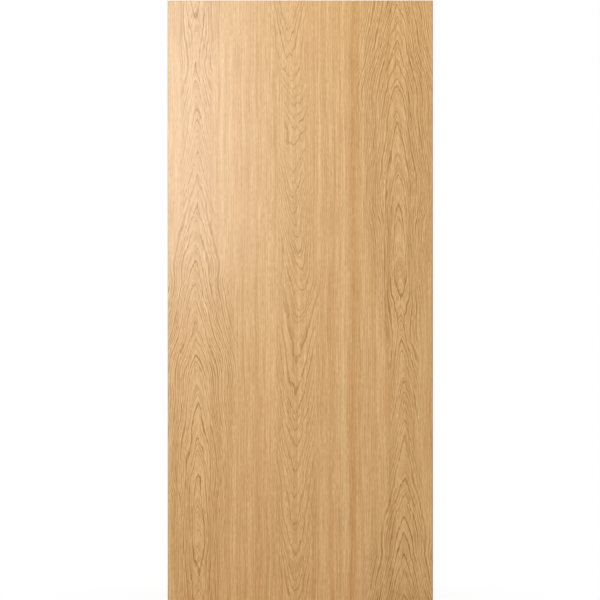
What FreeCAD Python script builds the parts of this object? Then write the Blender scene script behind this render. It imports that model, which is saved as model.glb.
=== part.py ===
import FreeCAD, Part
import math
import os
import Sketcher

# A flush hollow core door leaf: a softwood frame and an expanded paper honeycomb
# between two hardboard skins, faced with oak-figured sheet and banded on its long edges.
# X runs from the hinge edge to the lock edge, Y through the leaf from the front face
# to the back face, and Z up. The origin is at the foot of the hinge edge, mid thickness.

doc = FreeCAD.newDocument("flush_hollow_core_door")

driving_sizes = {
    "leaf_width": 900,
    "leaf_height": 2040,
    "leaf_thickness": 35,
    "face_sheet": 0.6,
    "skin": 3,
    "edge_band": 2,
    "arris_radius": 1.5,
    "stile_width": 32,
    "rail_width": 40,
    "lock_block_width": 90,
    "lock_block_length": 400,
    "lock_block_centre": 1000,
    "vent_bore": 6,
    "vent_inset": 210,
    "core_cell": 75,
    "core_paper": 0.5,
}

sheet = doc.addObject("Spreadsheet::Sheet", "Sizes")
for row, (alias, value) in enumerate(driving_sizes.items(), start=1):
    sheet.set(f"A{row}", alias)
    sheet.set(f"B{row}", str(value))
    sheet.setAlias(f"B{row}", alias)
doc.recompute()

# Places and spans that several pieces share.
front_plane = "-Sizes.leaf_thickness / 2"
back_plane = "Sizes.leaf_thickness / 2"
panel_width = "(Sizes.leaf_width - 2 * Sizes.edge_band)"
frame_depth = "(Sizes.leaf_thickness - 2 * (Sizes.face_sheet + Sizes.skin))"
bay_start = "(Sizes.edge_band + Sizes.stile_width)"
bay_end = "(Sizes.leaf_width - Sizes.edge_band - Sizes.stile_width)"
rail_length = f"({bay_end} - {bay_start})"
block_foot = "(Sizes.lock_block_centre - Sizes.lock_block_length / 2)"

pieces = []


def seat(piece, label, x, y="0", z="0"):
    piece.Label = label
    piece.setExpression(".Placement.Base.x", x)
    piece.setExpression(".Placement.Base.y", y)
    piece.setExpression(".Placement.Base.z", z)
    pieces.append(piece)


def board(label, along_x, along_y, along_z, x, y, z="0"):
    box = doc.addObject("Part::Box", label)
    box.setExpression("Length", along_x)
    box.setExpression("Width", along_y)
    box.setExpression("Height", along_z)
    seat(box, label, x, y, z)


def origin_plane(body, role):
    return next(feature for feature in body.Origin.OriginFeatures if feature.Role == role)


def plan_sketch(body, name):
    sketch = body.newObject("Sketcher::SketchObject", name)
    sketch.AttachmentSupport = (origin_plane(body, "XY_Plane"), [""])
    sketch.MapMode = "FlatFace"
    return sketch


def upright_pad(body, label, along_x, along_y, height):
    # A rectangle centred on the body's origin, padded upwards.
    section = plan_sketch(body, f"{label}_section")
    corners = [FreeCAD.Vector(x, y, 0) for x, y in ((-1, -1), (1, -1), (1, 1), (-1, 1))]
    for start, end in zip(corners, corners[1:] + corners[:1]):
        section.addGeometry(Part.LineSegment(start, end), False)
    for line in range(4):
        section.addConstraint(Sketcher.Constraint("Coincident", line, 2, (line + 1) % 4, 1))
    for line, direction in enumerate(("Horizontal", "Vertical", "Horizontal", "Vertical")):
        section.addConstraint(Sketcher.Constraint(direction, line))
    section.addConstraint(Sketcher.Constraint("Symmetric", 0, 1, 1, 2, -1, 1))
    width = section.addConstraint(Sketcher.Constraint("DistanceX", 0, 1, 0, 2, 2))
    depth = section.addConstraint(Sketcher.Constraint("DistanceY", 1, 1, 1, 2, 2))
    section.setExpression(f"Constraints[{width}]", along_x)
    section.setExpression(f"Constraints[{depth}]", along_y)
    pad = body.newObject("PartDesign::Pad", f"{label}_pad")
    pad.Profile = section
    pad.setExpression("Length", height)
    doc.recompute()
    return pad


def edge_band(label, x, turn):
    # Covers the edges of the skins and sheets; its two outer arrises are eased.
    body = doc.addObject("PartDesign::Body", label)
    strip = upright_pad(body, label, "Sizes.edge_band", "Sizes.leaf_thickness", "Sizes.leaf_height")
    outer_arrises = [
        f"Edge{number}"
        for number, edge in enumerate(strip.Shape.Edges, start=1)
        if edge.BoundBox.XMax < 0 and edge.BoundBox.ZLength > edge.BoundBox.YLength
    ]
    arris = body.newObject("PartDesign::Fillet", f"{label}_arris")
    arris.Base = (strip, outer_arrises)
    arris.setExpression("Radius", "Sizes.arris_radius")
    body.Tip = arris
    body.Placement.Rotation = FreeCAD.Rotation(FreeCAD.Vector(0, 0, 1), turn)
    seat(body, label, x)


def vented_rail(label, foot):
    # Two bores let the air in the core out while the leaf is pressed.
    body = doc.addObject("PartDesign::Body", label)
    bar = upright_pad(body, label, rail_length, frame_depth, "Sizes.rail_width")
    ring = plan_sketch(body, f"{label}_vent_ring")
    circle = Part.Circle(FreeCAD.Vector(1, 0, 0), FreeCAD.Vector(0, 0, 1), 1)
    ring.addGeometry(circle, False)
    ring.addConstraint(Sketcher.Constraint("PointOnObject", 0, 3, -1))
    offset = ring.addConstraint(Sketcher.Constraint("DistanceX", -1, 1, 0, 3, 1))
    bore = ring.addConstraint(Sketcher.Constraint("Diameter", 0, 2))
    ring.setExpression(f"Constraints[{offset}]", f"{rail_length} / 2 - Sizes.vent_inset")
    ring.setExpression(f"Constraints[{bore}]", "Sizes.vent_bore")
    vent = body.newObject("PartDesign::Pocket", f"{label}_vent")
    vent.Profile = ring
    vent.Reversed = True
    vent.setExpression("Length", "Sizes.rail_width")
    pair = body.newObject("PartDesign::Mirrored", f"{label}_vents")
    pair.Originals = [vent]
    pair.MirrorPlane = (origin_plane(body, "YZ_Plane"), [""])
    body.Tip = pair
    seat(body, label, "Sizes.leaf_width / 2", "0", foot)
    doc.recompute()
    if pair.Shape.Volume >= vent.Shape.Volume or vent.Shape.Volume >= bar.Shape.Volume:
        raise RuntimeError(f"{label} has lost a vent")


def ribbon(start_x, half_wave, half_waves, foot, pitch, paper, depth, first_high):
    # One paper strip folded into flats and slopes that make half of each six-sided cell.
    # Each flat takes two thirds of a half wave, and each slope the last third.
    flat = half_wave * 2 / 3
    slope = math.atan2(pitch - paper, half_wave / 3)
    mitre = paper / 2 * math.tan(slope / 2)
    upper, lower = [], []
    for number in range(half_waves + 1):
        middle = start_x + number * half_wave
        high = (number % 2 == 0) == first_high
        level = foot + pitch - paper if high else foot
        for edge, lift, outside in ((lower, 0, not high), (upper, paper, high)):
            reach = flat / 2 + mitre if outside else flat / 2 - mitre
            left = middle if number == 0 else middle - reach
            right = middle if number == half_waves else middle + reach
            edge.append(FreeCAD.Vector(left, -depth / 2, level + lift))
            edge.append(FreeCAD.Vector(right, -depth / 2, level + lift))
    outline = lower + upper[::-1] + lower[:1]
    return Part.Face(Part.makePolygon(outline)).extrude(FreeCAD.Vector(0, depth, 0))


def core_bay(name, start_x, end_x, foot, head):
    # The honeycomb is stretched to fill its bay, so whole ribbons and half waves fit.
    # Neighbouring ribbons are glued flat to flat: every other one is in a piece of its own.
    size = {alias: float(sheet.get(alias)) for alias in driving_sizes}
    depth = size["leaf_thickness"] - 2 * (size["face_sheet"] + size["skin"])
    cell_side = size["core_cell"] / math.sqrt(3)
    ribbons = max(2, round(2 * (head - foot) / size["core_cell"]))
    half_waves = max(2, round((end_x - start_x) / (cell_side * 3 / 2)))
    pitch = (head - foot) / ribbons
    half_wave = (end_x - start_x) / half_waves
    for first, group in enumerate(("odd", "even")):
        strips = [
            ribbon(0, half_wave, half_waves, number * pitch, pitch, size["core_paper"], depth, bool(first))
            for number in range(first, ribbons, 2)
        ]
        label = f"{name}_core_{group}_ribbons"
        piece = doc.addObject("Part::Feature", label)
        piece.Label = label
        piece.Shape = Part.makeCompound(strips)
        piece.Placement.Base = FreeCAD.Vector(start_x, 0, foot)
        pieces.append(piece)


def honeycomb_core():
    size = {alias: float(sheet.get(alias)) for alias in driving_sizes}
    left = size["edge_band"] + size["stile_width"]
    right = size["leaf_width"] - left
    block_low = size["lock_block_centre"] - size["lock_block_length"] / 2
    block_high = block_low + size["lock_block_length"]
    block = size["lock_block_width"]
    core_bay("lower", left, right, size["rail_width"], block_low)
    core_bay("middle", left + block, right - block, block_low, block_high)
    core_bay("upper", left, right, block_high, size["leaf_height"] - size["rail_width"])


# Faces and skins, from the front of the leaf to the back.
board("front_face_sheet", panel_width, "Sizes.face_sheet", "Sizes.leaf_height",
      "Sizes.edge_band", front_plane)
board("front_skin", panel_width, "Sizes.skin", "Sizes.leaf_height",
      "Sizes.edge_band", f"{front_plane} + Sizes.face_sheet")
board("back_skin", panel_width, "Sizes.skin", "Sizes.leaf_height",
      "Sizes.edge_band", f"{back_plane} - Sizes.face_sheet - Sizes.skin")
board("back_face_sheet", panel_width, "Sizes.face_sheet", "Sizes.leaf_height",
      "Sizes.edge_band", f"{back_plane} - Sizes.face_sheet")

# The frame: stiles run the full height, and the rails butt between them.
for label, x in (("hinge_stile", "Sizes.edge_band"), ("lock_stile", bay_end)):
    board(label, "Sizes.stile_width", frame_depth, "Sizes.leaf_height", x, f"-{frame_depth} / 2")
vented_rail("bottom_rail", "0")
vented_rail("top_rail", "Sizes.leaf_height - Sizes.rail_width")

# A block for the lock on each stile, so that the leaf can be hung from either edge.
for label, x in (
    ("hinge_side_lock_block", bay_start),
    ("lock_side_lock_block", f"{bay_end} - Sizes.lock_block_width"),
):
    board(label, "Sizes.lock_block_width", frame_depth, "Sizes.lock_block_length",
          x, f"-{frame_depth} / 2", block_foot)

edge_band("hinge_edge_band", "Sizes.edge_band / 2", 0)
edge_band("lock_edge_band", "Sizes.leaf_width - Sizes.edge_band / 2", 180)
doc.recompute()
honeycomb_core()
doc.recompute()

for item in doc.Objects:
    if "Invalid" in item.State or "Error" in item.State:
        raise RuntimeError(f"{item.Label} failed to build: {item.State}")
for piece in pieces:
    if piece.Shape.isNull() or not piece.Shape.isValid():
        raise RuntimeError(f"{piece.Label} has no valid shape")

os.makedirs("parts", exist_ok=True)
for piece in pieces:
    piece.Shape.exportStep(os.path.join("parts", f"{piece.Label}.step"))
    print(f"{piece.Label}: {len(piece.Shape.Solids)} solids, {piece.Shape.Volume / 1000:.1f} cm3")
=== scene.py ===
import math
import bpy
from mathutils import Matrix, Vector


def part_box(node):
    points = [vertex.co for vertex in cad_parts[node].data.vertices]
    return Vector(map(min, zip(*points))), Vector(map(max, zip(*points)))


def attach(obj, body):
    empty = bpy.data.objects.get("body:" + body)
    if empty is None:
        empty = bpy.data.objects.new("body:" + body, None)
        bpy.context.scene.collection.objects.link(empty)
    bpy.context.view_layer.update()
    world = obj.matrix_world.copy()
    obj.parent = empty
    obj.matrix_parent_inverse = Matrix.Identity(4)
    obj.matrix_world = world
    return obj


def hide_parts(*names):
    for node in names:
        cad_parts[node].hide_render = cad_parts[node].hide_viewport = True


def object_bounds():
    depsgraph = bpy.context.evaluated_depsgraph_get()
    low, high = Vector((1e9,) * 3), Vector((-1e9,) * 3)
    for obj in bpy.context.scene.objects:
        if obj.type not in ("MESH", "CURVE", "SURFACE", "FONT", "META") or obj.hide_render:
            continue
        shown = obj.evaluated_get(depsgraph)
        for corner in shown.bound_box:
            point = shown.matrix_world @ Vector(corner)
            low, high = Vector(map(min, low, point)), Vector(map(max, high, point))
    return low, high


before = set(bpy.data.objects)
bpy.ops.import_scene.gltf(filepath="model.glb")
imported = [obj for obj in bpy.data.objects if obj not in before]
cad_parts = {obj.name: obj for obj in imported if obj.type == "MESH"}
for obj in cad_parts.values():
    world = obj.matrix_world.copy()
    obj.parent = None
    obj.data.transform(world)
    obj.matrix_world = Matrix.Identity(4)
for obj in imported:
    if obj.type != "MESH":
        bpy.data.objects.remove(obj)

cadLow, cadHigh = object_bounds()
leafWidth = cadHigh.x - cadLow.x
leafHeight = cadHigh.z - cadLow.z
leafMiddle = (cadLow + cadHigh) / 2
perMetre = 1000.0  # the materials count in millimetres
print("leaf", round(leafWidth, 4), "by", round(leafHeight, 4), "m")


# one wire of a shader tree, so that the figure of the wood can be written as sums
class Flow:
    def __init__(self, tree, socket):
        self.tree = tree
        self.socket = socket

    def step(self, operation, *others):
        node = self.tree.nodes.new("ShaderNodeMath")
        node.operation = operation
        for socket, value in zip(node.inputs, (self, *others)):
            plug(self.tree, value, socket)
        return Flow(self.tree, node.outputs[0])

    def __add__(self, other):
        return self.step("ADD", other)

    def __sub__(self, other):
        return self.step("SUBTRACT", other)

    def __mul__(self, other):
        return self.step("MULTIPLY", other)

    def __truediv__(self, other):
        return self.step("DIVIDE", other)

    def whole(self):
        return self.step("FLOOR")

    def part(self):
        return self.step("FRACT")

    def size(self):
        return self.step("ABSOLUTE")

    def root(self):
        return self.step("SQRT")

    def rise(self, low, high):  # 0 at low, 1 at high, eased between
        node = self.tree.nodes.new("ShaderNodeMapRange")
        node.interpolation_type = "SMOOTHSTEP"
        for name, value in (("Value", self), ("From Min", low), ("From Max", high)):
            plug(self.tree, value, node.inputs[name])
        return Flow(self.tree, node.outputs[0])

    def along(self, points, top=1.0):  # a curve through the given points over 0 to 1, with heights from 0 to top
        node = self.tree.nodes.new("ShaderNodeFloatCurve")
        curve = node.mapping.curves[0]
        drawn = [(place, height / top) for place, height in points]
        curve.points[0].location = drawn[0]
        curve.points[1].location = drawn[-1]
        for place in drawn[1:-1]:
            curve.points.new(*place)
        for point in curve.points:
            point.handle_type = "AUTO_CLAMPED"
        node.mapping.update()
        plug(self.tree, self, node.inputs["Value"])
        return Flow(self.tree, node.outputs[0]) * top


def plug(tree, value, socket):
    if isinstance(value, Flow):
        value = value.socket
    if isinstance(value, bpy.types.NodeSocket):
        tree.links.new(value, socket)
    else:
        socket.default_value = value


def addNode(tree, kind, inputs, **settings):
    node = tree.nodes.new(kind)
    for name, value in settings.items():
        setattr(node, name, value)
    for name, value in inputs.items():
        plug(tree, value, node.inputs[name])
    return node.outputs[0] if node.outputs else node


noiseMiddle = 0.5
noiseGain = 4.0


def cloud(across, along, seed, detail=1.0):  # soft noise about 0, mostly within -1 and 1
    tree = across.tree
    place = addNode(tree, "ShaderNodeCombineXYZ", {"X": across, "Y": along, "Z": seed})
    noise = addNode(tree, "ShaderNodeTexNoise", {"Vector": place, "Scale": 1.0, "Detail": detail})
    return (Flow(tree, noise) - noiseMiddle) * noiseGain


def grain(look, across, along, start=0.0, detail=1.0):  # look is (size across, size along, seed, amount)
    wide, tall, seed, much = look
    return cloud(across / wide, along / tall, start + seed, detail) * much


def newMaterial(name, sheen=0.2):
    material = bpy.data.materials.new(name)
    material.use_nodes = True
    shader = material.node_tree.nodes["Principled BSDF"]
    shader.inputs["Specular IOR Level"].default_value = sheen
    return material, material.node_tree, shader


def placeInMillimetres(tree):
    place = tree.nodes.new("ShaderNodeTexCoord")
    parts = tree.nodes.new("ShaderNodeSeparateXYZ")
    tree.links.new(place.outputs["Object"], parts.inputs[0])
    return [Flow(tree, parts.outputs[axis]) * perMetre for axis in range(3)]


def ramp(tone, *colours):  # tone from 0 to 1 runs evenly through the linear colours
    tree = tone.tree
    node = tree.nodes.new("ShaderNodeValToRGB")
    stops = node.color_ramp.elements
    while len(stops) < len(colours):
        stops.new(0.5)
    for place, colour in enumerate(colours):
        stops[place].position = place / (len(colours) - 1)
        stops[place].color = (*colour, 1.0)
    plug(tree, tone, node.inputs[0])
    return Flow(tree, node.outputs[0])


def tinted(colour, tint, amount):
    tree = colour.tree
    node = tree.nodes.new("ShaderNodeMix")
    node.data_type = "RGBA"
    node.blend_type = "MULTIPLY"
    plug(tree, amount, node.inputs["Factor"])
    plug(tree, colour, node.inputs[6])
    node.inputs[7].default_value = (*tint, 1.0)
    return Flow(tree, node.outputs[2])


def surface(tree, shader, colour, roughness, relief, bump):  # bump is (strength, depth in metres)
    strength, depth = bump
    raised = addNode(tree, "ShaderNodeBump", {"Strength": strength, "Distance": depth, "Height": relief})
    plug(tree, colour, shader.inputs["Base Color"])
    plug(tree, roughness, shader.inputs["Roughness"])
    plug(tree, raised, shader.inputs["Normal"])


# The oak print on both faces. Lengths are millimetres: across from the hinge edge, and down from the head.
oakPrint = {
    "drawnSize": (900.0, 2040.0),  # the width and height that the columns' middle lines are drawn over
    "repeat": 1862.0,
    "seams": (262.0, 608.0),
    "seamBlend": 45.0,
    "ringLine": 5.2,
    # painted sheen: these tone colours are the oak's own, lifted evenly paler and greyer to stand in for
    # part of the finish's white reflection
    "dark": (0.328, 0.162, 0.030),
    "mid": (0.600, 0.374, 0.164),
    "pale": (0.940, 0.655, 0.366),
    "orange": (0.750, 0.620, 0.430),
    "warmth": 0.48,
    "warmStreaks": [  # place, half width, how much warmer
        (307.0, 12.0, 0.2), (418.0, 10.0, -0.2), (542.0, 10.0, -0.2),
        (596.0, 14.0, -0.15), (627.0, 18.0, 0.28), (747.0, 18.0, 0.15),
    ],
    "sheen": 0.24,
    "roughness": 0.22,
    "poreRoughness": 0.08,
    "bump": (0.25, 0.0002),
    "backDrop": 640.0,  # the back shows the print from further down
}

# noise over the whole print, each as (size across, size down, seed, amount)
oakGrain = {
    "drift": (90.0, 400.0, 3.0, 5.0),
    "shake": (16.0, 130.0, 4.0, 1.3),
    "pores": (2.8, 20.0, 60.0, 1.0),
    "shortStreaks": (2.9, 130.0, 61.0, 1.0),
    "longStreaks": (2.9, 800.0, 63.0, 0.8),
    "warmBands": (18.0, 2500.0, 64.0, 0.22),
    "warmThreads": (8.0, 800.0, 62.0, 0.12),
}

# how much each part of the figure changes the tone, 0 dark and 1 pale
oakTone = {
    "plain": 0.575,
    "early": -0.48,
    "openPores": 0.12,
    "darkThreads": 0.11,
    "darkThreadRange": (-0.1, -0.7),
    "threads": 0.07,
    "pores": 0.10,
    "figuredPores": 0.02,
    "streaks": 0.125,
    "figuredStreaks": -0.06,
    "earlyPores": 1.4,  # pores open in the dark early wood
    "poreLimit": 0.7,
    "poreRange": (0.0, 0.9),
}

# A flitch is a column of growth rings cut along the log. Rings are (place of the tip on the column's
# middle line, darkness), and turns make an eye, where ring numbers run back. Curves over one repeat
# are (place, value): lean draws out a ring's arms, tight spreads rings sideways, ripple is small waves,
# reach is the column's half width and strength its contrast. Legs and slopes are (steepness, rounding)
# of the arms. Then come the darkness of lines on the flanks, of lines half way between rings and of
# lines nested in the tips, and the number of fine threads to a ring.
sideFlitch = {
    "rings": [
        (17, 1.0), (61, 0.4), (146, 0.6), (204, 0.6), (262, 1.0), (286, 0.8), (381, 0.35), (422, 1.0),
        (544, 0.6), (585, 0.6), (687, 0.7), (1193, 0.4), (1292, 0.9), (1329, 0.9), (1363, 0.5),
        (1384, 0.5), (1428, 0.9), (1499, 0.6), (1615, 0.9), (1666, 0.5), (1754, 0.7), (1809, 1.0),
    ],
    "turns": [(840, 10.85), (996, 10.0), (1074, 9.55), (1149, 10.0)],
    "lean": [
        (17, 1.2), (200, 1.0), (280, 0.85), (422, 1.2), (687, 1.3), (1000, 1.2), (1292, 1.4), (1450, 1.4),
        (1615, 0.95), (1760, 0.85), (1879, 1.2),
    ],
    "tight": [
        (17, 0.15), (600, 0.2), (800, 0.8), (1074, 1.3), (1200, 0.8), (1330, 0.3), (1500, 0.2), (1879, 0.15),
    ],
    "ripple": [(17, 0.12), (1879, 0.12)],
    "reach": [
        (17, 150), (300, 165), (500, 150), (690, 140), (800, 132), (900, 118), (1000, 100), (1100, 75),
        (1200, 58), (1400, 60), (1600, 66), (1750, 90), (1879, 150),
    ],
    "strength": [
        (17, 1.25), (400, 1.25), (600, 1.35), (800, 1.5), (1000, 1.5), (1150, 1.35), (1400, 1.1),
        (1600, 1.05), (1700, 1.3), (1879, 1.25),
    ],
    "opens": -1.0,  # tips point up
    "legs": [(1.9, 2.5), (2.8, 50.0)],
    "slopes": [(0.03, 3.0), (0.06, 40.0)],
    "flankDark": 0.74,
    "between": 0.4,
    "nested": 0.8,
    "fine": 4.0,
}

heartFlitch = {
    "rings": [
        (102, 0.5), (136, 0.9), (184, 0.8), (272, 0.5), (303, 0.5), (330, 0.5), (357, 0.6), (398, 0.5),
        (428, 0.9), (483, 0.9), (578, 0.6), (609, 0.4), (660, 0.6), (728, 0.6), (765, 0.4), (809, 0.6),
        (850, 0.5), (904, 0.6), (942, 0.5), (983, 0.6), (1054, 0.5), (1078, 0.6), (1102, 0.8),
        (1210, 0.5), (1310, 0.95), (1401, 0.7), (1425, 0.6), (1462, 0.6), (1520, 0.7), (1595, 0.6),
        (1649, 0.4), (1690, 0.6), (1758, 0.9), (1870, 0.6),
    ],
    "turns": [],
    "lean": [
        (102, 1.0), (184, 0.7), (303, 0.48), (440, 0.48), (600, 1.15), (690, 1.25), (850, 0.95), (983, 0.75),
        (1102, 0.8), (1210, 1.0), (1480, 1.0), (1600, 1.15), (1800, 1.0), (1964, 1.0),
    ],
    "tight": [(102, 0.2), (1964, 0.2)],
    "ripple": [
        (102, 0.15), (184, 0.2), (400, 0.2), (450, 0.35), (500, 0.3), (560, 0.12), (780, 0.12), (880, 0.25),
        (980, 0.15), (1300, 0.12), (1420, 0.3), (1500, 0.15), (1964, 0.15),
    ],
    "reach": [
        (102, 70), (200, 52), (300, 46), (480, 48), (620, 64), (700, 68), (1000, 80), (1500, 80), (1964, 70),
    ],
    "strength": [
        (102, 0.95), (230, 0.75), (340, 0.65), (500, 0.72), (640, 0.88), (1000, 1.0), (1350, 1.0),
        (1700, 0.8), (1964, 0.95),
    ],
    "opens": 1.0,  # tips point down
    "legs": [(0.9, 4.0), (7.0, 60.0)],
    "slopes": [(0.06, 40.0)],
    "flankDark": 0.62,
    "between": 0.1,
    "nested": 0.55,
    "fine": 3.5,
}

curveTops = {"lean": 2.5, "tight": 2.5, "ripple": 1.0, "reach": 200.0, "strength": 2.0}

# The columns from the hinge edge on. The middle line of each wanders a little on its way down.
flitchColumns = {
    "left": {
        "look": sideFlitch,
        "drop": 942.0,
        "seed": 10.0,
        "line": [(0, 95), (500, 99), (950, 96), (1400, 98), (1800, 106), (2040, 105)],
    },
    "heart": {
        "look": heartFlitch,
        "drop": 0.0,
        "seed": 30.0,
        "line": [
            (0, 411), (160, 412), (242, 420), (310, 428), (400, 432), (490, 428), (590, 425), (680, 424),
            (820, 441), (980, 455), (1100, 443), (1320, 433), (2040, 431),
        ],
    },
    "right": {
        "look": sideFlitch,
        "drop": 0.0,
        "seed": 50.0,
        "line": [(0, 778), (500, 778), (950, 789), (1350, 802), (1500, 804), (2040, 801)],
    },
}

# How every ring is drawn. Fades are distances from the middle line, as (where it starts, where it is full).
ringDrawing = {
    "bend": (55.0, 170.0, 5.1, 0.25),
    "ripple": (16.0, 50.0, 6.4, 1.0),
    "rippleFade": (110.0, 20.0),
    "tear": (3.4, 90.0, 1.3, 0.07),
    "lineShare": (0.1, 0.42),  # least and most of a ring's width that its line takes
    "flankLine": 0.22,
    "flankLineFade": (8.0, 45.0),
    "flankFade": (12.0, 45.0),
    "lineCore": 0.15,
    "halfLine": (0.3, 0.47),
    "reachCore": 0.55,
    "worn": (90.0, 7.2),  # length and seed
    "wornPerRing": 1.3,
    "wornDepth": 0.3,
    "wornMiddle": 0.95,
    "dash": (4.0, 80.0, 2.2, 1.0),
    "dashRange": (-0.6, 0.3),
    "dashDepth": 0.4,
    "holdBack": -0.3,
    "holdGain": 1.2,
    "nested": (160.0, 9.6),
    "nestedStep": 9.0,
    "nestedFade": (40.0, 8.0),
    "fine": (110.0, 8.7),
    "fineFade": (2.0, 30.0),
    "flankThread": 0.7,
}


def flitch(look, across, down, drop, seed):
    rings = look["rings"]
    count = len(rings)
    repeat = oakPrint["repeat"]
    places = [place for place, dark in rings]
    first = places[0]
    level = (down - drop - first) / repeat
    square = across * across
    beside = across.size()

    def overHeight(points, top, height):
        return height.part().along([((place - first) / repeat, value) for place, value in points], top)

    def drawn(name):
        return overHeight(look[name], curveTops[name], level)

    def faded(name):
        return beside.rise(*ringDrawing[name])

    def arms(terms):  # two arms from the middle line, rounded where they meet
        parts = [((square + bend ** 2).root() - bend) * slope for slope, bend in terms]
        total = parts[0]
        for part in parts[1:]:
            total = total + part
        return total * look["opens"]

    def withRings(steps, name):  # noise that follows the rings
        length, shift = ringDrawing[name]
        return cloud(steps, down / length, seed + shift)

    lifted = level + arms(look["legs"]) * drawn("lean") / repeat
    tips = sorted([*zip(places, range(count)), *look["turns"], (first + repeat, count)])
    number = overHeight(tips, float(count), lifted) + lifted.whole() * float(count)
    spread = arms(look["slopes"]) * drawn("tight")
    sway = grain(ringDrawing["bend"], across, down, seed)
    sway = sway + grain(ringDrawing["ripple"], across, down, seed) * drawn("ripple") * faded("rippleFade")
    ring = number + spread + sway
    torn = ring + grain(ringDrawing["tear"], across, down, seed)
    nearest = (torn + 0.5).whole()
    turn = ((nearest + 0.5) / float(count)).part()

    def overRings(values):
        points = [((index + 0.5) / count, value) for index, value in enumerate(values)]
        return turn.along([(0.0, values[0]), *points, (1.0, values[-1])])

    before = [places[-1] - repeat, *places[:-1]]
    after = [*places[1:], first + repeat]
    gaps = [(high - low) / 2 for low, high in zip(before, after)]
    least, most = ringDrawing["lineShare"]
    width = overRings([min(most, max(least, oakPrint["ringLine"] / gap)) for gap in gaps])
    width = width + (width * -1.0 + ringDrawing["flankLine"]) * faded("flankLineFade")
    flank = faded("flankFade")
    depth = overRings([dark for place, dark in rings])
    depth = depth + (depth * -1.0 + look["flankDark"]) * flank
    offLine = (torn - nearest).size()
    early = offLine.rise(width, width * ringDrawing["lineCore"]) * depth
    early = early + offLine.rise(*ringDrawing["halfLine"]) * flank * look["between"]
    reach = drawn("reach")
    figured = beside.rise(reach, reach * ringDrawing["reachCore"])
    shown = figured * drawn("strength")
    worn = withRings(ring * ringDrawing["wornPerRing"], "worn")
    worn = worn * ringDrawing["wornDepth"] + ringDrawing["wornMiddle"]
    dashes = grain(ringDrawing["dash"], across, down, seed).rise(*ringDrawing["dashRange"])
    dashes = dashes * ringDrawing["dashDepth"] + (1.0 - ringDrawing["dashDepth"])
    early = early * worn * shown * dashes
    early = early * (early * ringDrawing["holdBack"] + ringDrawing["holdGain"])  # the darkest are held back
    nested = withRings(lifted * (repeat / ringDrawing["nestedStep"]), "nested")
    nested = nested * faded("nestedFade") * look["nested"]
    fine = withRings(ring * look["fine"], "fine") * faded("fineFade")
    threads = (fine + nested + flank * ringDrawing["flankThread"]) * shown
    return early, threads, figured


def oakFigure(across, down):  # tone, warmth and open pores of the print
    drawnWide, drawnTall = oakPrint["drawnSize"]
    x = across + (grain(oakGrain["drift"], across, down) + grain(oakGrain["shake"], across, down))

    def column(look):
        line = [(place / drawnTall, middle / drawnWide) for place, middle in look["line"]]
        beyond = x - (down / drawnTall).step("MINIMUM", 1.0).along(line) * drawnWide
        return flitch(look["look"], beyond, down, look["drop"], look["seed"])

    left, heart, right = [column(look) for look in flitchColumns.values()]
    blend = oakPrint["seamBlend"]
    past = [across.rise(seam - blend, seam + blend) for seam in oakPrint["seams"]]
    early, threads, figured = [
        (a + (b - a) * past[0]) + (c - b) * past[1] for a, b, c in zip(left, heart, right)
    ]
    pores = grain(oakGrain["pores"], x, down)
    streaks = grain(oakGrain["shortStreaks"], x, down) + grain(oakGrain["longStreaks"], x, down)
    warmth = grain(oakGrain["warmBands"], x, down) + grain(oakGrain["warmThreads"], across, down)
    warmth = warmth + oakPrint["warmth"]
    for place, wide, much in oakPrint["warmStreaks"]:
        warmth = warmth + (x - place).size().rise(wide, 0.0) * much
    openPores = pores + early * oakTone["earlyPores"] - oakTone["poreLimit"]
    openPores = openPores.rise(*oakTone["poreRange"])
    tone = early * oakTone["early"] - openPores * oakTone["openPores"]
    tone = tone - threads.rise(*oakTone["darkThreadRange"]) * oakTone["darkThreads"]
    tone = tone + threads * oakTone["threads"] + oakTone["plain"]
    tone = tone + pores * (figured * oakTone["figuredPores"] + oakTone["pores"])
    tone = tone + streaks * (figured * oakTone["figuredStreaks"] + oakTone["streaks"])
    return tone, warmth, openPores


def oakFace(name, turned):
    material, tree, shader = newMaterial(name, oakPrint["sheen"])
    x, _, z = placeInMillimetres(tree)
    across = (x * -1.0 + leafWidth * perMetre) if turned else x
    down = z * -1.0 + leafHeight * perMetre + (oakPrint["backDrop"] if turned else 0.0)
    tone, warmth, openPores = oakFigure(across, down)
    colour = ramp(tone, oakPrint["dark"], oakPrint["mid"], oakPrint["pale"])
    colour = tinted(colour, oakPrint["orange"], warmth)
    roughness = openPores * oakPrint["poreRoughness"] + oakPrint["roughness"]
    surface(tree, shader, colour, roughness, openPores * -1.0, oakPrint["bump"])
    return material


# straight-grained oak for the two long edges
oakBand = {
    "dark": (0.260, 0.135, 0.042),
    "mid": (0.500, 0.300, 0.120),
    "pale": (0.690, 0.455, 0.215),
    "slant": 0.31,
    "bow": (30.0, 400.0, 40.0, 2.0),
    "pores": (0.7, 11.0, 41.0, 1.0),
    "streaks": (2.6, 260.0, 42.0, 1.0),
    "streakDetail": 2.0,
    "rings": (6.5, 900.0, 43.0, 1.0),
    "ringPores": 0.5,
    "poreLimit": 0.5,
    "poreRange": (0.0, 0.8),
    "tones": {"openPores": -0.25, "pores": 0.06, "streaks": 0.14, "rings": 0.10, "plain": 0.56},
    "roughness": 0.45,
    "poreRoughness": 0.1,
    "bump": (0.3, 0.0002),
}


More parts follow.
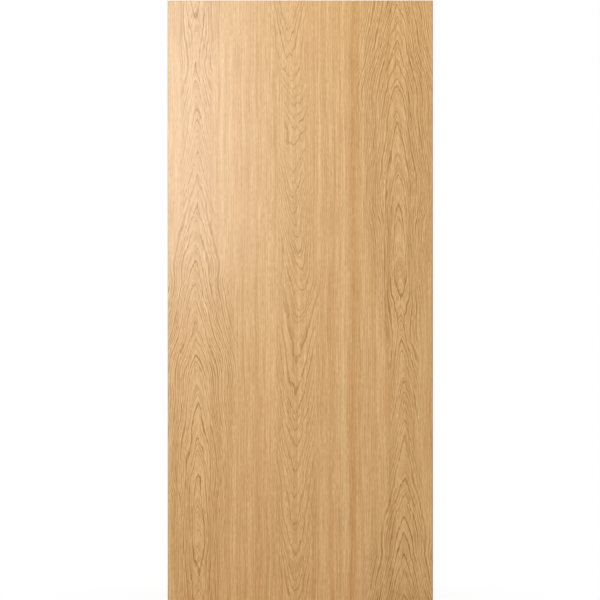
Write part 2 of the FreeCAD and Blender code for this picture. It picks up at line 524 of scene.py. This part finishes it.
def oakEdge():
    material, tree, shader = newMaterial("oakEdge")
    x, y, z = placeInMillimetres(tree)
    side = x * oakBand["slant"] + y + grain(oakBand["bow"], y, z)
    pores = grain(oakBand["pores"], side, z)
    streaks = grain(oakBand["streaks"], side, z, detail=oakBand["streakDetail"])
    rings = grain(oakBand["rings"], side, z)
    openPores = (pores + rings * oakBand["ringPores"] - oakBand["poreLimit"]).rise(*oakBand["poreRange"])
    tones = oakBand["tones"]
    tone = openPores * tones["openPores"] + pores * tones["pores"] + streaks * tones["streaks"]
    tone = tone + rings * tones["rings"] + tones["plain"]
    colour = ramp(tone, oakBand["dark"], oakBand["mid"], oakBand["pale"])
    roughness = openPores * oakBand["poreRoughness"] + oakBand["roughness"]
    surface(tree, shader, colour, roughness, openPores * -1.0, oakBand["bump"])
    return material


# The frame timber shows at the head and the foot: sawn ends of the stiles, and the rails' long grain.
pineTimber = {
    "early": (0.70, 0.50, 0.28),
    "late": (0.46, 0.25, 0.10),
    "endShade": 0.86,
    "ringWidth": 3.2,
    "pith": (-38.0, 61.0),  # how far the middle of the log lies from a piece's own middle
    "longBow": (240.0, 40.0, 70.0, 1.2),
    "shortBow": (17.0, 17.0, 71.0, 0.7),
    "lateStart": (0.25, 0.92),
    "lateEnd": (1.0, 0.94),
    "endFibre": (0.5, 0.5, 72.0, 1.0),
    "longFibre": (14.0, 0.6, 73.0, 1.0),
    "blotch": (21.0, 13.0, 74.0, 1.0),
    "tones": {"late": 0.62, "fibre": 0.10, "blotch": 0.10, "plain": 0.16},
    "endRoughness": 0.82,
    "longRoughness": 0.66,
    "fibreRoughness": 0.06,
    "lateRelief": 0.6,
    "bump": (0.35, 0.0003),
}


def pine(name, middle, endGrain):
    material, tree, shader = newMaterial(name)
    x, y, z = placeInMillimetres(tree)
    first, second, along = (x, y, z) if endGrain else (z, y, x)
    a = first - (middle + pineTimber["pith"][0])
    b = second - pineTimber["pith"][1]
    bow = grain(pineTimber["longBow"], along, second) + grain(pineTimber["shortBow"], first, second)
    ring = ((a * a + b * b).root() + bow) / pineTimber["ringWidth"]
    late = ring.part().rise(*pineTimber["lateStart"]) * ring.part().rise(*pineTimber["lateEnd"])
    if endGrain:
        fibre = grain(pineTimber["endFibre"], first, second)
        deep = [value * pineTimber["endShade"] for value in pineTimber["late"]]
        roughness = pineTimber["endRoughness"]
    else:
        fibre = grain(pineTimber["longFibre"], along, second)
        deep = pineTimber["late"]
        roughness = pineTimber["longRoughness"]
    blotch = grain(pineTimber["blotch"], first, second)
    tones = pineTimber["tones"]
    tone = late * tones["late"] + fibre * tones["fibre"] + blotch * tones["blotch"] + tones["plain"]
    relief = fibre + late * pineTimber["lateRelief"]
    roughness = fibre * pineTimber["fibreRoughness"] + roughness
    surface(tree, shader, ramp(tone, pineTimber["early"], deep), roughness, relief, pineTimber["bump"])
    return material


# the lock blocks are glued up from slats, each with its own tint and grain
blockBoard = {
    "pale": (0.68, 0.48, 0.27),
    "deep": (0.47, 0.28, 0.13),
    "slat": 24.0,
    "joint": (0.47, 0.5),
    "tintSteps": (3.7, 1.9),
    "tintSeed": 77.0,
    "grainSize": (1.8, 150.0),
    "grainStep": 11.0,
    "grainSeed": 78.0,
    "grainDetail": 2.0,
    "tones": {"grain": 0.2, "tint": 0.2, "joint": 0.3, "plain": 0.4},
    "roughness": 0.7,
    "grainRoughness": 0.05,
    "bump": (0.3, 0.0003),
}


def gluedBlock():
    material, tree, shader = newMaterial("gluedBlock")
    x, _, z = placeInMillimetres(tree)
    place = x / blockBoard["slat"]
    slat = place.whole()
    joint = (place.part() - 0.5).size().rise(*blockBoard["joint"])
    stepA, stepB = blockBoard["tintSteps"]
    tint = cloud(slat * stepA, slat * stepB, blockBoard["tintSeed"])
    wide, tall = blockBoard["grainSize"]
    across = x / wide + slat * blockBoard["grainStep"]
    fibre = cloud(across, z / tall, blockBoard["grainSeed"], blockBoard["grainDetail"])
    tones = blockBoard["tones"]
    tone = fibre * tones["grain"] + tint * tones["tint"] + joint * tones["joint"] + tones["plain"]
    colour = ramp(tone, blockBoard["pale"], blockBoard["deep"])
    roughness = fibre * blockBoard["grainRoughness"] + blockBoard["roughness"]
    surface(tree, shader, colour, roughness, fibre - joint, blockBoard["bump"])
    return material


pressedFibre = {
    "deep": (0.105, 0.055, 0.028),
    "pale": (0.255, 0.150, 0.078),
    "fibreSize": (2.2, 0.35),  # in the plane of the board, and through it
    "fibreSeed": 80.0,
    "fibreDetail": 3.0,
    "fleckSize": (0.8, 0.6),
    "fleckSeed": 81.0,
    "fleckRange": (0.5, 1.1),
    "tones": {"fibre": 0.28, "fleck": 0.3, "plain": 0.42},
    "roughness": 0.78,
    "fibreRoughness": 0.05,
    "bump": (0.35, 0.0002),
}


def hardboard():
    material, tree, shader = newMaterial("hardboard")
    x, y, z = placeInMillimetres(tree)
    flat, through = pressedFibre["fibreSize"]
    fibre = cloud(x / flat, y / through + z / flat, pressedFibre["fibreSeed"], pressedFibre["fibreDetail"])
    flat, through = pressedFibre["fleckSize"]
    fleck = cloud(x / flat, y / through + z / flat, pressedFibre["fleckSeed"])
    fleck = fleck.rise(*pressedFibre["fleckRange"])
    tones = pressedFibre["tones"]
    tone = fibre * tones["fibre"] + fleck * tones["fleck"] + tones["plain"]
    colour = ramp(tone, pressedFibre["deep"], pressedFibre["pale"])
    roughness = fibre * pressedFibre["fibreRoughness"] + pressedFibre["roughness"]
    surface(tree, shader, colour, roughness, fibre, pressedFibre["bump"])
    return material


corePaper = {
    "deep": (0.30, 0.19, 0.10),
    "pale": (0.48, 0.33, 0.19),
    "fibre": (3.0, 2.0, 90.0, 1.0),
    "fibreDetail": 3.0,
    "tones": {"fibre": 0.2, "plain": 0.5},
    "roughness": 0.8,
    "fibreRoughness": 0.05,
    "bump": (0.3, 0.0002),
}


def kraftPaper():
    material, tree, shader = newMaterial("kraftPaper")
    x, y, z = placeInMillimetres(tree)
    fibre = grain(corePaper["fibre"], x, y + z, detail=corePaper["fibreDetail"])
    tone = fibre * corePaper["tones"]["fibre"] + corePaper["tones"]["plain"]
    colour = ramp(tone, corePaper["deep"], corePaper["pale"])
    roughness = fibre * corePaper["fibreRoughness"] + corePaper["roughness"]
    surface(tree, shader, colour, roughness, fibre, corePaper["bump"])
    return material


def dress(material, *nodes):
    for node in nodes:
        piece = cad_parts[node]
        piece.data.materials.clear()
        piece.data.materials.append(material)


for stile in ("hinge_stile", "lock_stile"):
    low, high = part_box(stile)
    dress(pine(stile + "Pine", (low.x + high.x) / 2 * perMetre, True), stile)
for rail in ("top_rail", "bottom_rail"):
    low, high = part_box(rail)
    dress(pine(rail + "Pine", (low.z + high.z) / 2 * perMetre, False), rail)
dress(gluedBlock(), "hinge_side_lock_block", "lock_side_lock_block")
dress(hardboard(), "front_skin", "back_skin")
dress(kraftPaper(), *[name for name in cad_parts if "_core_" in name])
print("frame, skins and core dressed")


# Face sheets and edge bands. Each is a flat strip, extruded from foot to head, with its outer arrises eased.
faceSheets = {"arris": 0.0002, "arrisSteps": 2, "mapShare": 0.95}
edgeBands = {"arris": 0.0015, "arrisSteps": 6, "mapShare": 0.75}
weldDistance = 0.000001


def stripTree():
    tree = bpy.data.node_groups.new("flatStrip", "GeometryNodeTree")
    kinds = {
        "Width": "NodeSocketFloat", "Thickness": "NodeSocketFloat", "Height": "NodeSocketFloat",
        "Arris": "NodeSocketFloat", "Arris Steps": "NodeSocketInt", "Place": "NodeSocketVector",
        "Turn": "NodeSocketVector", "Material": "NodeSocketMaterial",
    }
    for name, kind in kinds.items():
        tree.interface.new_socket(name, in_out="INPUT", socket_type=kind)
    tree.interface.new_socket("Geometry", in_out="OUTPUT", socket_type="NodeSocketGeometry")
    asked = tree.nodes.new("NodeGroupInput").outputs
    sides = {"Width": asked["Width"], "Height": asked["Thickness"]}
    section = addNode(tree, "GeometryNodeCurvePrimitiveQuadrilateral", sides)
    place = addNode(tree, "GeometryNodeInputPosition", {})
    parts = tree.nodes.new("ShaderNodeSeparateXYZ")
    tree.links.new(place, parts.inputs[0])
    outer = Flow(tree, parts.outputs["Y"]).step("LESS_THAN", 0.0)
    easing = {"Curve": section, "Count": asked["Arris Steps"], "Radius": outer * asked["Arris"]}
    eased = addNode(tree, "GeometryNodeFilletCurve", easing, mode="POLY")
    foot = addNode(tree, "GeometryNodeFillCurve", {"Curve": eased}, mode="NGONS")
    upward = {"Offset": (0.0, 0.0, 1.0), "Offset Scale": asked["Height"], "Individual": False}
    raised = addNode(tree, "GeometryNodeExtrudeMesh", {"Mesh": foot, **upward})
    under = addNode(tree, "GeometryNodeFlipFaces", {"Mesh": foot})
    joined = tree.nodes.new("GeometryNodeJoinGeometry")
    for half in (raised, under):
        tree.links.new(half, joined.inputs[0])
    weld = {"Geometry": joined.outputs[0], "Distance": weldDistance}
    closed = addNode(tree, "GeometryNodeMergeByDistance", weld)
    standing = {"Geometry": closed, "Translation": asked["Place"], "Rotation": asked["Turn"]}
    stood = addNode(tree, "GeometryNodeTransform", standing)
    whole = addNode(tree, "GeometryNodeRealizeInstances", {"Geometry": stood})
    dressed = {"Geometry": whole, "Material": asked["Material"]}
    finished = addNode(tree, "GeometryNodeSetMaterial", dressed)
    result = tree.nodes.new("NodeGroupOutput")
    tree.links.new(finished, result.inputs[0])
    return tree


# the outer side fills most of the map for baking, and the other sides lie in lanes beside it
bakeLayout = {"lanes": 5, "laneMargin": 0.06, "facing": 0.05, "endwise": 0.5}


def bakeMap(mesh, outward, share):
    layer = mesh.uv_layers.new(name="OFBake")
    upright = Vector((0.0, 0.0, 1.0))
    sideways = upright.cross(outward)
    axes = (sideways, outward, upright)
    spans = [[point.co.dot(axis) for point in mesh.vertices] for axis in axes]
    lows = [min(span) for span in spans]
    lengths = [max(span) - min(span) for span in spans]
    lane = (1.0 - share) / bakeLayout["lanes"]
    margin = bakeLayout["laneMargin"]
    for face in mesh.polygons:
        lean = [face.normal.dot(axis) for axis in axes]
        if lean[1] > bakeLayout["facing"]:
            start, wide, axisU, axisV = 0.0, share, 0, 2
        elif lean[1] < -bakeLayout["facing"]:
            start, wide, axisU, axisV = share, lane, 0, 2
        elif abs(lean[0]) > bakeLayout["endwise"]:
            start, wide, axisU, axisV = share + lane * (1 if lean[0] > 0 else 2), lane, 1, 2
        else:
            start, wide, axisU, axisV = share + lane * (3 if lean[2] > 0 else 4), lane, 1, 0
        for corner in face.loop_indices:
            point = mesh.vertices[mesh.loops[corner].vertex_index].co
            u, v = [(point.dot(axes[axis]) - lows[axis]) / lengths[axis] for axis in (axisU, axisV)]
            inset = margin + (1.0 - 2 * margin) * u if wide == lane else u
            layer.data[corner].uv = (start + wide * inset, v)


def strip(tree, node, name, turn, look, material):
    low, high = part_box(node)
    size = high - low
    acrossX = abs(math.cos(turn)) > 0.5
    inputs = {
        "Width": size.x if acrossX else size.y,
        "Thickness": size.y if acrossX else size.x,
        "Height": size.z,
        "Arris": look["arris"],
        "Arris Steps": look["arrisSteps"],
        "Place": ((low.x + high.x) / 2, (low.y + high.y) / 2, low.z),
        "Turn": (0.0, 0.0, turn),
        "Material": material,
    }
    piece = bpy.data.objects.new(name, bpy.data.meshes.new(name))
    bpy.context.scene.collection.objects.link(piece)
    modifier = piece.modifiers.new("flatStrip", "NODES")
    modifier.node_group = tree
    for item in tree.interface.items_tree:
        if item.in_out == "INPUT":
            modifier[item.identifier] = inputs[item.name]
    evaluated = piece.evaluated_get(bpy.context.evaluated_depsgraph_get())
    mesh = bpy.data.meshes.new_from_object(evaluated)
    piece.modifiers.remove(modifier)
    piece.data = mesh
    mesh.name = name
    bakeMap(mesh, Vector((math.sin(turn), -math.cos(turn), 0.0)), look["mapShare"])
    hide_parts(node)
    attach(piece, "root")


flatStrip = stripTree()
quarter = math.pi / 2
frontOak = oakFace("oakFront", False)
backOak = oakFace("oakBack", True)
bandOak = oakEdge()
strip(flatStrip, "front_face_sheet", "frontFaceSheet", 0.0, faceSheets, frontOak)
strip(flatStrip, "back_face_sheet", "backFaceSheet", math.pi, faceSheets, backOak)
strip(flatStrip, "hinge_edge_band", "hingeEdgeBand", -quarter, edgeBands, bandOak)
strip(flatStrip, "lock_edge_band", "lockEdgeBand", quarter, edgeBands, bandOak)
print("face sheets and edge bands made")


# floor, light and camera
studio = {
    "floorReach": 8.0,
    "floorTone": 0.9,
    "floorRoughness": 0.9,
    "floorNear": 0.92,  # how much of the floor near the leaf is plain white, the rest shows its shadow
    "floorFade": (0.4, 1.1),
    "fillLevel": 0.20,
    "lens": 200.0,
    "sensor": 36.0,
    "frameHeight": 2.0345,
    "headRoom": 0.0015,  # between the head of the leaf and the top of the frame
    "frameShift": -0.0012,
}

# The key stands square on to the front. The low lamp under it lets the sheen fade slowly downwards.
lamps = {
    "key": {"place": (-0.35, -4.0, 2.05), "target": (-0.35, 0.0, 2.05), "size": (1.0, 1.9), "power": 102.0},
    "low": {"place": (-0.35, -4.0, 0.7), "target": (-0.35, 0.0, 0.7), "size": (1.0, 0.8), "power": 8.0},
    "side": {"place": (-2.2, -1.8, 0.9), "target": (0.3, 0.0, 0.9), "size": (1.2, 1.6), "power": 21.5},
    "top": {"place": (0.75, -0.9, 2.9), "target": (0.6, 0.0, 1.7), "size": (0.8, 0.4), "power": 4.8},
    "back": {"place": (1.6, 2.6, 3.2), "target": (0.45, 0.0, 1.2), "size": (1.2, 1.2), "power": 90.0},
}


def seenRays(tree):  # camera, glossy and transmission rays see the plain white
    path = tree.nodes.new("ShaderNodeLightPath")
    names = ("Is Camera Ray", "Is Glossy Ray", "Is Transmission Ray")
    camera, glossy, through = [Flow(tree, path.outputs[name]) for name in names]
    return (camera + glossy + through).step("MINIMUM", 1.0)


def floor():
    mesh = bpy.data.meshes.new("floor")
    reach = studio["floorReach"]
    corners = [(-reach, -reach), (reach, -reach), (reach, reach), (-reach, reach)]
    mesh.from_pydata([(leafMiddle.x + x, y, cadLow.z) for x, y in corners], [], [(0, 1, 2, 3)])
    ground = bpy.data.objects.new("floor", mesh)
    bpy.context.scene.collection.objects.link(ground)
    material, tree, shader = newMaterial("paleFloor", 0.0)
    shader.inputs["Base Color"].default_value = (*[studio["floorTone"]] * 3, 1.0)
    shader.inputs["Roughness"].default_value = studio["floorRoughness"]
    x, y, _ = placeInMillimetres(tree)
    x = x - leafMiddle.x * perMetre
    away = (x * x + y * y).root() / perMetre
    white = away.rise(*studio["floorFade"]) * (1.0 - studio["floorNear"]) + studio["floorNear"]
    glow = addNode(tree, "ShaderNodeEmission", {"Strength": 1.0})
    mix = tree.nodes.new("ShaderNodeMixShader")
    plug(tree, seenRays(tree) * white, mix.inputs[0])
    tree.links.new(shader.outputs[0], mix.inputs[1])
    tree.links.new(glow, mix.inputs[2])
    tree.links.new(mix.outputs[0], tree.nodes["Material Output"].inputs[0])
    mesh.materials.append(material)


def softBox(name, look):
    place = Vector(look["place"])
    aim = Vector(look["target"]) - place
    lamp = bpy.data.lights.new(name + "Light", "AREA")
    lamp.shape = "RECTANGLE"
    lamp.size, lamp.size_y = look["size"]
    lamp.energy = look["power"]
    box = bpy.data.objects.new(name + "Light", lamp)
    box.location = place
    box.rotation_euler = aim.to_track_quat("-Z", "Y").to_euler()
    box.visible_camera = False
    bpy.context.scene.collection.objects.link(box)


def studioLight():
    world = bpy.data.worlds.new("studio")
    bpy.context.scene.world = world
    world.use_nodes = True
    tree = world.node_tree
    sky = tree.nodes["Background"]
    sky.inputs["Color"].default_value = (1.0, 1.0, 1.0, 1.0)
    seen = seenRays(tree)
    plug(tree, seen * (1.0 - studio["fillLevel"]) + studio["fillLevel"], sky.inputs["Strength"])
    for name, look in lamps.items():
        softBox(name, look)


def photoCamera():
    lens = bpy.data.cameras.new("photoCamera")
    lens.lens = studio["lens"]
    lens.sensor_width = studio["sensor"]
    camera = bpy.data.objects.new("photoCamera", lens)
    away = studio["frameHeight"] * studio["lens"] / studio["sensor"]
    eyeLevel = cadHigh.z + studio["headRoom"] - studio["frameHeight"] / 2
    camera.location = (leafMiddle.x + studio["frameShift"], cadLow.y - away, eyeLevel)
    camera.rotation_euler = (math.radians(90), 0, 0)
    bpy.context.scene.collection.objects.link(camera)
    bpy.context.scene.camera = camera


floor()
studioLight()
photoCamera()
bpy.context.scene.view_settings.view_transform = "Standard"
print("studio ready")
